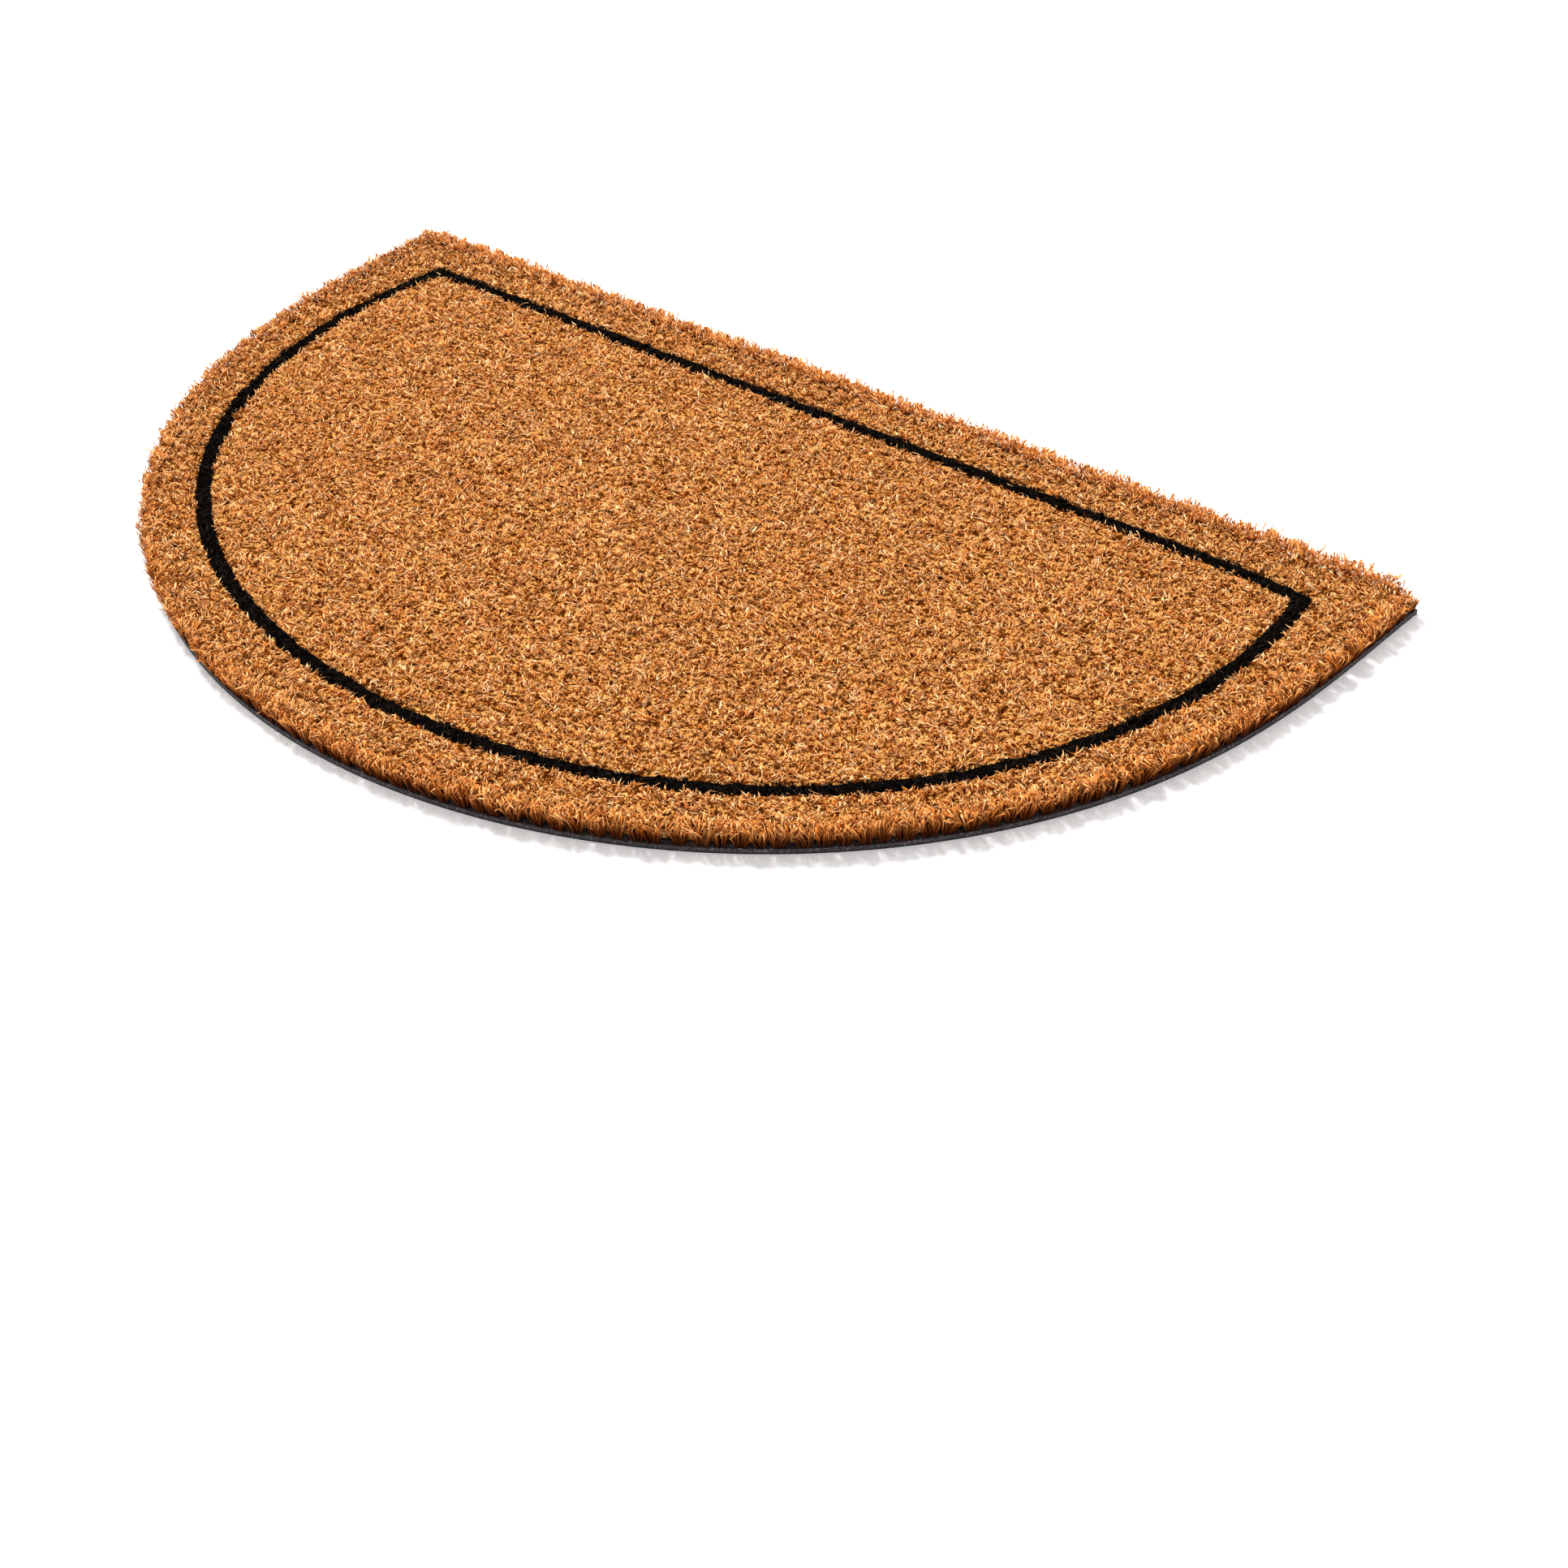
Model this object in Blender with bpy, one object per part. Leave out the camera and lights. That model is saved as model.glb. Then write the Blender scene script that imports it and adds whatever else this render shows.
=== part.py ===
"""Half round doormat: a vinyl backing sheet that carries a brushed coir pile.

Metres, +Z up. The straight edge runs along X on the +Y side and the nose is at -Y.
The underside of the backing is the plane z = 0.
"""
import math
import random

import bmesh
import bpy
from mathutils import Vector, noise
from mathutils.geometry import delaunay_2d_cdt

WIDTH = 0.750               # length of the backing's straight edge
DEPTH = 0.450               # straight edge to nose
SIDE_SWELL = (0.140, -0.147, -0.048)   # how the sides stand out from a half ellipse
CURVE_STEPS = 1800          # fine steps used to measure along the curved edge

BACKING_THICK = 0.003
BACKING_SIDES = 120         # flats round the curved edge of the backing
SEAT_GAP = 0.0003           # daylight between backing and pile

PILE_TOP = 0.0156           # mean height of the clipped pile above the floor
PILE_LUMP = 0.0012          # height of the broad lumps in the clipped top
PILE_TUFT = 0.0014          # height of the finer tufts on those lumps
LUMP_SIZE = 0.045
TUFT_SIZE = 0.017
TOP_SPACING = 0.0145        # distance between the points that shape the top
TOP_JITTER = 0.2            # share of that distance by which each point strays
TOP_MARGIN = 0.6            # share of that distance kept clear of the rim
TOP_SEED = 5

LOCKS_CURVED = 126          # fibre locks round the curved edge
LOCKS_STRAIGHT = 72         # fibre locks along the straight edge
LOCK_SHAPE = (0.0, 0.7, 1.0, 0.7)      # groove, shoulder, crest, shoulder
LOCK_REACH = (0.0020, 0.0052)          # least and most that a crest leans out
LOCK_RISE = (0.0135, 0.0166)           # least and most height of a crest
GROOVE_DROP = 0.0022        # how far a groove lies below its crest
GROOVE_CUT = 0.0012         # how far a groove is cut in from the backing's edge
FOOT_INSET = 0.0012         # bare strip of backing outside the pile's foot
WAIST_RISE = 0.0050         # height of the waist ring above the pile's foot
WAIST_LEAN = 0.45           # share of the reach that the waist has
CROWN_INSET = 0.0060        # where the rim's slope meets the clipped top
LOCK_SEED = 11
CORNER_EASE = 2             # points each side that round the pile's two corners
CORNER_TURN = 6             # points each side over which the outward direction turns

COLOURS = {"backing": (0.035, 0.033, 0.034, 1.0), "coir_pile": (0.58, 0.26, 0.085, 1.0)}


def clear_scene():
    for obj in list(bpy.data.objects):
        bpy.data.objects.remove(obj, do_unlink=True)


def curved_edge_at(share):
    """Point of the curved edge, from the left corner (0) round the nose to the right (1)."""
    angle = math.pi * (1.0 + share)
    rise = -math.sin(angle)
    radius = 1.0 / math.hypot(math.cos(angle) / (WIDTH / 2), rise / DEPTH)
    bend = 1.0 - 2.0 * rise
    swell = sum(term * bend ** power for power, term in enumerate(SIDE_SWELL))
    radius *= math.exp(rise * (1.0 - rise) * swell)
    return Vector((radius * math.cos(angle), DEPTH / 2 - radius * rise))


def outline(curved, straight):
    """Corner-to-corner points at even distances, anticlockwise from above."""
    fine = [curved_edge_at(i / CURVE_STEPS) for i in range(CURVE_STEPS + 1)]
    run = [0.0]
    for a, b in zip(fine, fine[1:]):
        run.append(run[-1] + (b - a).length)
    points, at = [], 0
    for i in range(curved):
        want = run[-1] * i / curved
        while run[at + 1] < want:
            at += 1
        blend = (want - run[at]) / (run[at + 1] - run[at])
        points.append(fine[at].lerp(fine[at + 1], blend))
    right, left = fine[-1], fine[0]
    points += [right.lerp(left, i / straight) for i in range(straight)]
    return points


def rim_base(points):
    """Eased points and the outward direction at each, for the rings of the pile."""
    count = len(points)
    base = []
    for i in range(count):
        near = points[i - CORNER_EASE] + points[i] + points[(i + CORNER_EASE) % count]
        along = (points[(i + CORNER_TURN) % count] - points[i - CORNER_TURN]).normalized()
        base.append((near / 3.0, Vector((along.y, -along.x))))
    return base


def top_height(point):
    """Height of the clipped top, lumpy at two sizes."""
    lump = noise.noise(Vector((point.x / LUMP_SIZE, point.y / LUMP_SIZE, 1.7)))
    tuft = noise.noise(Vector((point.x / TUFT_SIZE, point.y / TUFT_SIZE, 6.3)))
    return PILE_TOP + PILE_LUMP * lump + PILE_TUFT * tuft


def lock_rings(base):
    """Foot, waist and crest rings of the rim, each with one fold for every lock."""
    rng = random.Random(LOCK_SEED)
    seat = BACKING_THICK + SEAT_GAP
    foot, waist, crest = [], [], []
    reach = rise = 0.0
    half = len(LOCK_SHAPE) // 2
    for i, (point, out) in enumerate(base):
        phase = (i + half) % len(LOCK_SHAPE)
        if phase == 0 or i == 0:
            reach, rise = rng.uniform(*LOCK_REACH), rng.uniform(*LOCK_RISE)
        fold = LOCK_SHAPE[phase]
        cut = GROOVE_CUT * (1.0 - fold)
        foot.append((point - out * (FOOT_INSET + cut), seat))
        waist.append((point + out * (reach * WAIST_LEAN * fold - cut), seat + WAIST_RISE))
        crest.append((point + out * (reach * fold - cut), rise - GROOVE_DROP * (1.0 - fold)))
    return foot, waist, crest


def inside(point, ring, margin):
    """True where the point lies within the ring and clear of it by the margin."""
    odd = False
    for a, b in zip(ring, ring[1:] + ring[:1]):
        if (a.y > point.y) != (b.y > point.y):
            if point.x < a.x + (b.x - a.x) * (point.y - a.y) / (b.y - a.y):
                odd = not odd
        if (a - point).length_squared < margin * margin:
            return False
    return odd


def top_points(ring):
    """Staggered points that shape the clipped top inside the crown ring."""
    rng = random.Random(TOP_SEED)
    points = []
    row_step = TOP_SPACING * math.sqrt(0.75)
    for row in range(int(DEPTH / row_step) + 1):
        for col in range(int(WIDTH / TOP_SPACING) + 2):
            x = -WIDTH / 2 + (col + 0.5 * (row % 2)) * TOP_SPACING
            y = -DEPTH / 2 + row * row_step
            stray = TOP_SPACING * TOP_JITTER
            point = Vector((x + rng.uniform(-stray, stray), y + rng.uniform(-stray, stray)))
            if inside(point, ring, TOP_SPACING * TOP_MARGIN):
                points.append(point)
    return points


def new_object(name, mesh_data):
    mesh = bpy.data.meshes.new(name)
    mesh_data.normal_update()
    mesh_data.to_mesh(mesh)
    mesh_data.free()
    material = bpy.data.materials.new(name)
    material.use_nodes = True
    shader = material.node_tree.nodes["Principled BSDF"]
    shader.inputs["Base Color"].default_value = COLOURS[name]
    shader.inputs["Roughness"].default_value = 0.9
    mesh.materials.append(material)
    obj = bpy.data.objects.new(name, mesh)
    bpy.context.scene.collection.objects.link(obj)
    return obj


def build_backing():
    """Half round sheet of vinyl, cut square at its edge."""
    points = outline(BACKING_SIDES, 1)
    bm = bmesh.new()
    low = [bm.verts.new((p.x, p.y, 0.0)) for p in points]
    high = [bm.verts.new((p.x, p.y, BACKING_THICK)) for p in points]
    bm.faces.new(high)
    bm.faces.new(low[::-1])
    for i in range(len(points)):
        j = (i + 1) % len(points)
        bm.faces.new((low[i], low[j], high[j], high[i]))
    return new_object("backing", bm)


def build_pile():
    """Lumpy slab of coir whose rim is folded into leaning locks."""
    folds = len(LOCK_SHAPE)
    base = rim_base(outline(LOCKS_CURVED * folds, LOCKS_STRAIGHT * folds))
    crown_xy = [point - out * CROWN_INSET for point, out in base]
    crown = [(point, top_height(point)) for point in crown_xy]
    bm = bmesh.new()
    rings = []
    for ring in (*lock_rings(base), crown):
        rings.append([bm.verts.new((point.x, point.y, height)) for point, height in ring])
    bm.faces.new(rings[0][::-1])
    for lower, upper in zip(rings, rings[1:]):
        for i in range(len(lower)):
            j = (i + 1) % len(lower)
            bm.faces.new((lower[i], lower[j], upper[j], upper[i]))

    rim_count = len(crown_xy)
    flat = crown_xy + top_points(crown_xy)
    inner = [bm.verts.new((p.x, p.y, top_height(p))) for p in flat[rim_count:]]
    verts = rings[-1] + inner
    result = delaunay_2d_cdt(flat, [], [list(range(rim_count))], 1, 1e-7)
    source = [origins[0] for origins in result[3]]
    for face in result[2]:
        bm.faces.new([verts[source[k]] for k in face])
    bmesh.ops.triangulate(bm, faces=bm.faces[:])
    return new_object("coir_pile", bm)


def centre_on_floor(objects):
    """Put the middle of the whole mat's plan on the origin."""
    spots = [vert.co for obj in objects for vert in obj.data.vertices]
    for axis in (0, 1):
        values = [spot[axis] for spot in spots]
        middle = (min(values) + max(values)) / 2
        for spot in spots:
            spot[axis] -= middle


clear_scene()
centre_on_floor([build_backing(), build_pile()])
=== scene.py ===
import math

import bmesh
import bpy
import numpy as np
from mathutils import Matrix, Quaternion, Vector, noise
from mathutils.geometry import delaunay_2d_cdt


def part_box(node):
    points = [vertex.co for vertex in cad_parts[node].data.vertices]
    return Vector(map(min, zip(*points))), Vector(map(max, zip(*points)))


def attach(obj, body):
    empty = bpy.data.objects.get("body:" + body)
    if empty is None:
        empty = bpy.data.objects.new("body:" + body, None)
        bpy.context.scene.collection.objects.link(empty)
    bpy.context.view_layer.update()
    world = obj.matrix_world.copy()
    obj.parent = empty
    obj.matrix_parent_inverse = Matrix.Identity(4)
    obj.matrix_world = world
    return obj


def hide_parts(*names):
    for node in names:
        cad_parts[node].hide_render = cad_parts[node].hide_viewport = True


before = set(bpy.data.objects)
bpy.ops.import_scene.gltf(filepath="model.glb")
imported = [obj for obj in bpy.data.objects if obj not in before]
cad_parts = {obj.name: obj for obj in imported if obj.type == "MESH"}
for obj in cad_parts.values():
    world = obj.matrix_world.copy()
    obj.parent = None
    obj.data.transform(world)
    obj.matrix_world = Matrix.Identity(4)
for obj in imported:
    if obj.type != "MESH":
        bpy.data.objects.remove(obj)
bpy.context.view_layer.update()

# Floor: the plain pale ground that the mat lies on, which glows faintly to stay white in the picture.
# It is a stage and no part of the mat, so it is one large flat face.

FLOOR_HALF = 9.0
FLOOR_WHITE = (0.90, 0.90, 0.90, 1.0)
FLOOR_GLOW = 0.22


def plain_finish(name, colour, roughness):
    """Finish of one colour and one roughness, to which more may be added."""
    finish = bpy.data.materials.new(name)
    finish.use_nodes = True
    shader = finish.node_tree.nodes["Principled BSDF"]
    shader.inputs["Base Color"].default_value = colour
    shader.inputs["Roughness"].default_value = roughness
    return finish


def mesh_piece(name, mesh, finish):
    """Object that carries a mesh, at the origin."""
    piece = bpy.data.objects.new(name, mesh)
    if finish is not None:
        mesh.materials.append(finish)
    bpy.context.scene.collection.objects.link(piece)
    return piece


floor_signs = ((-1, -1), (1, -1), (1, 1), (-1, 1))
floor_corners = [(x * FLOOR_HALF, y * FLOOR_HALF, 0.0) for x, y in floor_signs]
floor_mesh = bpy.data.meshes.new("floor")
floor_mesh.from_pydata(floor_corners, [], [(0, 1, 2, 3)])
floor = mesh_piece("floor", floor_mesh, plain_finish("pale floor", FLOOR_WHITE, roughness=0.8))
floor_shader = floor.data.materials[0].node_tree.nodes["Principled BSDF"]
floor_shader.inputs["Emission Color"].default_value = (1.0, 1.0, 1.0, 1.0)
floor_shader.inputs["Emission Strength"].default_value = FLOOR_GLOW

# Vinyl backing: a soft grey-black sheet, poured over the fibre roots and then cut square
# with a blade, so its top is smooth, its cut edge is crumbly and mottled, and its underside is flat.

BACKING_LOW, BACKING_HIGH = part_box("backing")
WIDTH = BACKING_HIGH[0] - BACKING_LOW[0]
DEPTH = BACKING_HIGH[1] - BACKING_LOW[1]
STRAIGHT_Y = BACKING_HIGH[1]
MIDDLE_X = (BACKING_LOW[0] + BACKING_HIGH[0]) / 2
BACKING_THICK = BACKING_HIGH[2]
SIDE_SWELL = (0.140, -0.147, -0.048)
CURVE_STEPS = 3000
EDGE_CURVED = 900
EDGE_STRAIGHT = 480
EDGE_RINGS = ((0.0, 0.00010), (0.12, 0.0), (0.55, 0.0), (0.90, 0.00008), (1.0, 0.00035))
EDGE_CRUMB = 0.00035
CRUMB_SIZE = 0.0022
CRUMB_SEED = 3.1
FOOT_CRUMB = 0.4
TOP_WAVE = 0.0002
TOP_WAVE_SIZE = 0.004
TOP_WAVE_SEED = 8.2
TOP_INSET = 0.004
FLAT_FACE = 0.95


def half_round(width, depth, straight_y, swell, curved, straight):
    """Points of a half round outline, anticlockwise from its left corner, at even steps."""
    turn = np.pi * (1.0 + np.linspace(0.0, 1.0, CURVE_STEPS + 1))
    rise = -np.sin(turn)
    radius = 1.0 / np.hypot(np.cos(turn) / (width / 2), rise / depth)
    bend = 1.0 - 2.0 * rise
    radius *= np.exp(rise * (1.0 - rise) * (swell[0] + swell[1] * bend + swell[2] * bend**2))
    x = MIDDLE_X + radius * np.cos(turn)
    y = straight_y - radius * rise
    run = np.concatenate([[0.0], np.cumsum(np.hypot(np.diff(x), np.diff(y)))])
    want = np.linspace(0.0, run[-1], curved, endpoint=False)
    arc = np.stack([np.interp(want, run, x), np.interp(want, run, y)], 1)
    back = np.linspace(x[-1], x[0], straight, endpoint=False)
    edge = np.stack([back, np.full(straight, straight_y)], 1)
    return np.concatenate([arc, edge])


def outward(loop, reach=1):
    """Unit vectors that point out of a loop, turned over a few points either side."""
    along = np.roll(loop, -reach, 0) - np.roll(loop, reach, 0)
    along /= np.linalg.norm(along, axis=1, keepdims=True)
    return np.stack([along[:, 1], -along[:, 0]], 1)


def crumbs(loop, level, size, seed):
    """Noise at each point of a loop, different at each level."""
    return np.array([noise.noise(Vector((x / size, y / size, seed + level))) for x, y in loop])


def ring_walls(rings):
    """Corners of the four-sided faces between each ring and the next."""
    count = len(rings[0])
    for lower, upper in zip(rings, rings[1:]):
        for i in range(count):
            j = (i + 1) % count
            yield lower[i], lower[j], upper[j], upper[i]


def backing_mesh():
    """The sheet: rings up its crumbly cut edge, a flat underside and a smooth top."""
    loop = half_round(WIDTH, DEPTH, STRAIGHT_Y, SIDE_SWELL, EDGE_CURVED, EDGE_STRAIGHT)
    out = outward(loop, 2)
    bm = bmesh.new()
    rings = []
    for level, (share, tuck) in enumerate(EDGE_RINGS):
        rough = crumbs(loop, level, CRUMB_SIZE, CRUMB_SEED) * (FOOT_CRUMB if level == 0 else 1.0)
        inset = tuck + EDGE_CRUMB * (0.5 + rough)
        points = loop - out * inset[:, None]
        heights = np.full(len(loop), share * BACKING_THICK)
        if share == 1.0:
            heights += TOP_WAVE * crumbs(loop, level, TOP_WAVE_SIZE, TOP_WAVE_SEED)
        rings.append([bm.verts.new((x, y, z)) for (x, y), z in zip(points, heights)])
    inner = loop - out * TOP_INSET
    rings.append([bm.verts.new((x, y, BACKING_THICK)) for x, y in inner])
    for face in ring_walls(rings):
        bm.faces.new(face)
    bm.faces.new(rings[-1])
    bm.faces.new(rings[0][::-1])
    bmesh.ops.triangulate(bm, faces=[f for f in bm.faces if len(f.verts) > 4])
    bm.normal_update()
    for face in bm.faces:
        face.smooth = abs(face.normal.z) < FLAT_FACE
    mesh = bpy.data.meshes.new("vinyl_backing")
    bm.to_mesh(mesh)
    bm.free()
    return mesh


def ramp_node(tree, stops, source=None):
    """Colour ramp with the given (place, colour) stops."""
    node = tree.nodes.new("ShaderNodeValToRGB")
    points = node.color_ramp.elements
    while len(points) < len(stops):
        points.new(0.5)
    for point, (place, colour) in zip(points, stops):
        point.position = place
        point.color = (*colour, 1.0)
    if source is not None:
        tree.links.new(source, node.inputs["Fac"])
    return node.outputs["Color"]


def noise_node(tree, source, scale, detail=3.0, roughness=0.55):
    """Noise read at the places that a socket gives."""
    node = tree.nodes.new("ShaderNodeTexNoise")
    node.inputs["Scale"].default_value = scale
    node.inputs["Detail"].default_value = detail
    node.inputs["Roughness"].default_value = roughness
    tree.links.new(source, node.inputs["Vector"])
    return node.outputs["Fac"]


def mixed(tree, blend, share, first, second):
    """Two colours blended, by a fixed share or by one that a socket gives."""
    node = tree.nodes.new("ShaderNodeMix")
    node.data_type = "RGBA"
    node.blend_type = blend
    if isinstance(share, float):
        node.inputs["Factor"].default_value = share
    else:
        tree.links.new(share, node.inputs["Factor"])
    tree.links.new(first, node.inputs["A"])
    tree.links.new(second, node.inputs["B"])
    return node.outputs["Result"]


def bumped(tree, shader, height, strength, distance):
    """Fine relief on a shader, from the heights that a socket gives."""
    node = tree.nodes.new("ShaderNodeBump")
    node.inputs["Strength"].default_value = strength
    node.inputs["Distance"].default_value = distance
    tree.links.new(height, node.inputs["Height"])
    tree.links.new(node.outputs["Normal"], shader.inputs["Normal"])


def vinyl_finish():
    """Grey-black vinyl with pale grains where it is cut, and painted contact shade that darkens it towards
    its foot.
    """
    finish = plain_finish("vinyl", (0.05, 0.05, 0.05, 1.0), roughness=0.62)
    tree = finish.node_tree
    shader = tree.nodes["Principled BSDF"]
    shader.inputs["Specular IOR Level"].default_value = 0.35
    place = tree.nodes.new("ShaderNodeTexCoord").outputs["Object"]
    grain = noise_node(tree, place, scale=750.0, detail=4.0, roughness=0.75)
    cloud = noise_node(tree, place, scale=140.0, detail=3.0, roughness=0.6)
    base = ramp_node(tree, [(0.36, (0.012, 0.010, 0.011)), (0.50, (0.056, 0.047, 0.050)),
                            (0.62, (0.16, 0.145, 0.15)), (0.74, (0.58, 0.52, 0.50))], grain)
    tone = ramp_node(tree, [(0.30, (0.45, 0.43, 0.45)), (0.70, (1.0, 0.98, 1.0))], cloud)
    height = tree.nodes.new("ShaderNodeSeparateXYZ")
    tree.links.new(place, height.inputs["Vector"])
    level = tree.nodes.new("ShaderNodeMapRange")
    level.inputs["From Max"].default_value = BACKING_THICK
    tree.links.new(height.outputs["Z"], level.inputs["Value"])
    # Painted contact shade: the lowest part of the cut edge is darkened where it meets the floor.
    foot = ramp_node(tree, [(0.18, (0.10, 0.08, 0.09)), (0.50, (1.0, 1.0, 1.0))], level.outputs["Result"])
    toned = mixed(tree, "MULTIPLY", 1.0, base, tone)
    tree.links.new(mixed(tree, "MULTIPLY", 1.0, toned, foot), shader.inputs["Base Color"])
    bumped(tree, shader, grain, strength=0.6, distance=0.0004)
    return finish


backing = mesh_piece("vinyl_backing", backing_mesh(), vinyl_finish())
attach(backing, "root")
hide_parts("backing")

# Pile bed: the imported lower part of the coir, where the fibres stand too close to be told apart.
# It swells and dips with the tufts, and shows short crossed fibre ends, with painted shade in the dark pits
# and gaps between them.
# Under the dyed line it is black.

LINE_WIDTH = 0.6556
LINE_DEPTH = 0.3707
LINE_INSET = 0.0388
LINE_SWELL = (0.234, -0.082, 0.025)
LINE_BROAD = 0.0093
LINE_DIP = 0.0034
LINE_DIP_REACH = 0.022
LOOP_CURVED = 168
LOOP_STRAIGHT = 104
BED_TOP = 0.0125
BED_FOOT = BACKING_THICK + 0.0003
BED_SWELLS = ((0.0060, 0.0013, 4.4), (0.024, 0.0006, 7.1))
BED_RIM_INSETS = (0.0048, 0.0042, 0.0060)
BED_RIM_HEIGHTS = (BED_FOOT, BED_TOP * 0.72)
BED_RIM_DROP = 0.0008
BED_STEP = 0.0042
BED_SEED = 21
SCATTER_REACH_X = 0.39
SCATTER_REACH_Y = 0.24
SCATTER_ROWS = 0.866
FULL_TURN = 6.283
LEVEL_ONLY = (1.0, 1.0, 0.0)
STROKE_SCALE = (2300.0, 330.0, 330.0)
STROKE_LAYERS = ((0.0026, 0.0), (0.0035, 0.37), (0.0030, 0.81))
PIT_SCALE = 225.0
PIT_SHARE = 0.368
# Bed colours by stroke height: the light end is the coir's own colour, and the dark end is painted shade in
# the pits and between the fibre ends. The dyed bed is black with the same painted shade.
COIR_SHADE = [(0.0, (0.050, 0.011, 0.001)), (0.25, (0.22, 0.054, 0.006)),
              (0.55, (0.72, 0.27, 0.052)), (1.0, (1.0, 0.54, 0.17))]
DYED_SHADE = [(0.0, (0.002, 0.0015, 0.001)), (1.0, (0.009, 0.007, 0.006))]


def mitred(loop, distance):
    """The loop moved outward by a distance, with its corners kept sharp."""
    ahead = np.roll(loop, -1, 0) - loop
    ahead /= np.linalg.norm(ahead, axis=1, keepdims=True)
    after = np.stack([ahead[:, 1], -ahead[:, 0]], 1)
    before = np.roll(after, 1, 0)
    spread = 1.0 + (before * after).sum(1, keepdims=True)
    return loop + distance * (before + after) / spread


def eased(loop, reach=3):
    """The loop with its corners rounded off, as the brushed pile falls away there."""
    return sum(np.roll(loop, k, 0) for k in range(-reach, reach + 1)) / (2 * reach + 1)


outline = half_round(WIDTH, DEPTH, STRAIGHT_Y, SIDE_SWELL, LOOP_CURVED, LOOP_STRAIGHT)
line_y = STRAIGHT_Y - LINE_INSET
line_loop = half_round(LINE_WIDTH, LINE_DEPTH, line_y, LINE_SWELL, LOOP_CURVED, LOOP_STRAIGHT)
right_end = np.linalg.norm(line_loop - line_loop[LOOP_CURVED], axis=1)
line_loop[:, 1] -= LINE_DIP * np.exp(-(right_end / LINE_DIP_REACH)**2)
line_outer = mitred(line_loop, LINE_BROAD / 2)
line_inner = mitred(line_loop, -LINE_BROAD / 2)


def bed_height(x, y):
    """Height of the bed's top at a place."""
    swells = [rise * noise.noise(Vector((x / size, y / size, seed))) for size, rise, seed in BED_SWELLS]
    return BED_TOP + sum(swells)


def gap_to(loop, points):
    """Distance from each point to the nearest part of a loop."""
    start = loop[None, :, :]
    along = np.roll(loop, -1, 0)[None, :, :] - start
    nearest = np.full(len(points), np.inf)
    batch = 4000
    for first in range(0, len(points), batch):
        away = points[first:first + batch, None, :] - start
        share = np.clip((away * along).sum(2) / (along**2).sum(2), 0.0, 1.0)
        nearest[first:first + batch] = np.linalg.norm(away - along * share[:, :, None], axis=2).min(1)
    return nearest


def within(loop, points):
    """True for each point inside a loop."""
    odd = np.zeros(len(points), bool)
    for (ax, ay), (bx, by) in zip(loop, np.roll(loop, -1, 0)):
        if ay != by:
            crossed = (ay > points[:, 1]) != (by > points[:, 1])
            odd ^= crossed & (points[:, 0] < ax + (bx - ax) * (points[:, 1] - ay) / (by - ay))
    return odd


def scattered(step, jitter, seed):
    """Staggered points over the whole mat, each moved a little at random."""
    chance = np.random.default_rng(seed)
    columns = np.arange(-SCATTER_REACH_X, SCATTER_REACH_X, step)
    rows = np.arange(-SCATTER_REACH_Y, SCATTER_REACH_Y, step * SCATTER_ROWS)
    across, up = np.meshgrid(columns, rows)
    across[1::2] += step / 2
    points = np.stack([across.ravel(), up.ravel()], 1)
    return points + chance.uniform(-jitter * step, jitter * step, points.shape)


def bed_mesh():
    """The bed: a low wall round the rim, and a top whose faces follow both sides of the dyed line."""
    rim = [eased(mitred(outline, -inset)) for inset in BED_RIM_INSETS]
    fill = scattered(BED_STEP, jitter=0.25, seed=BED_SEED)
    clear = (gap_to(line_outer, fill) > BED_STEP / 2) & (gap_to(line_inner, fill) > BED_STEP / 2)
    fill = fill[clear & within(rim[-1], fill) & (gap_to(rim[-1], fill) > BED_STEP / 2)]
    count = len(outline)
    corners = [tuple(p) for p in np.concatenate([rim[-1], line_outer, line_inner, fill])]
    loops = [[k * count + i for i in range(count)] for k in range(3)]
    seams = [(loop[i], loop[(i + 1) % count]) for loop in loops for i in range(count)]
    spots, _, faces, *_ = delaunay_2d_cdt([Vector(c) for c in corners], seams, [loops[0]], 1, 1e-7)
    centres = np.array([np.mean([spots[k] for k in face], 0) for face in faces])
    dark = gap_to(line_loop, centres) < LINE_BROAD / 2
    bm = bmesh.new()
    rings = [[bm.verts.new((x, y, z)) for x, y in ring] for ring, z in zip(rim, BED_RIM_HEIGHTS)]
    rings.append([bm.verts.new((x, y, bed_height(x, y) - BED_RIM_DROP)) for x, y in rim[-1]])
    rim_spots = {(round(x, 7), round(y, 7)) for x, y in rim[-1]}
    top = []
    for x, y in spots:
        drop = BED_RIM_DROP if (round(x, 7), round(y, 7)) in rim_spots else 0.0
        top.append(bm.verts.new((x, y, bed_height(x, y) - drop)))
    for face, black in zip(faces, dark):
        bm.faces.new([top[k] for k in face]).material_index = int(black)
    for face in ring_walls(rings):
        bm.faces.new(face)
    bm.faces.new(rings[0][::-1])
    bmesh.ops.remove_doubles(bm, verts=bm.verts, dist=1e-6)
    for face in bm.faces:
        face.smooth = True
    mesh = bpy.data.meshes.new("pile_bed")
    bm.to_mesh(mesh)
    bm.free()
    return mesh


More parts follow.
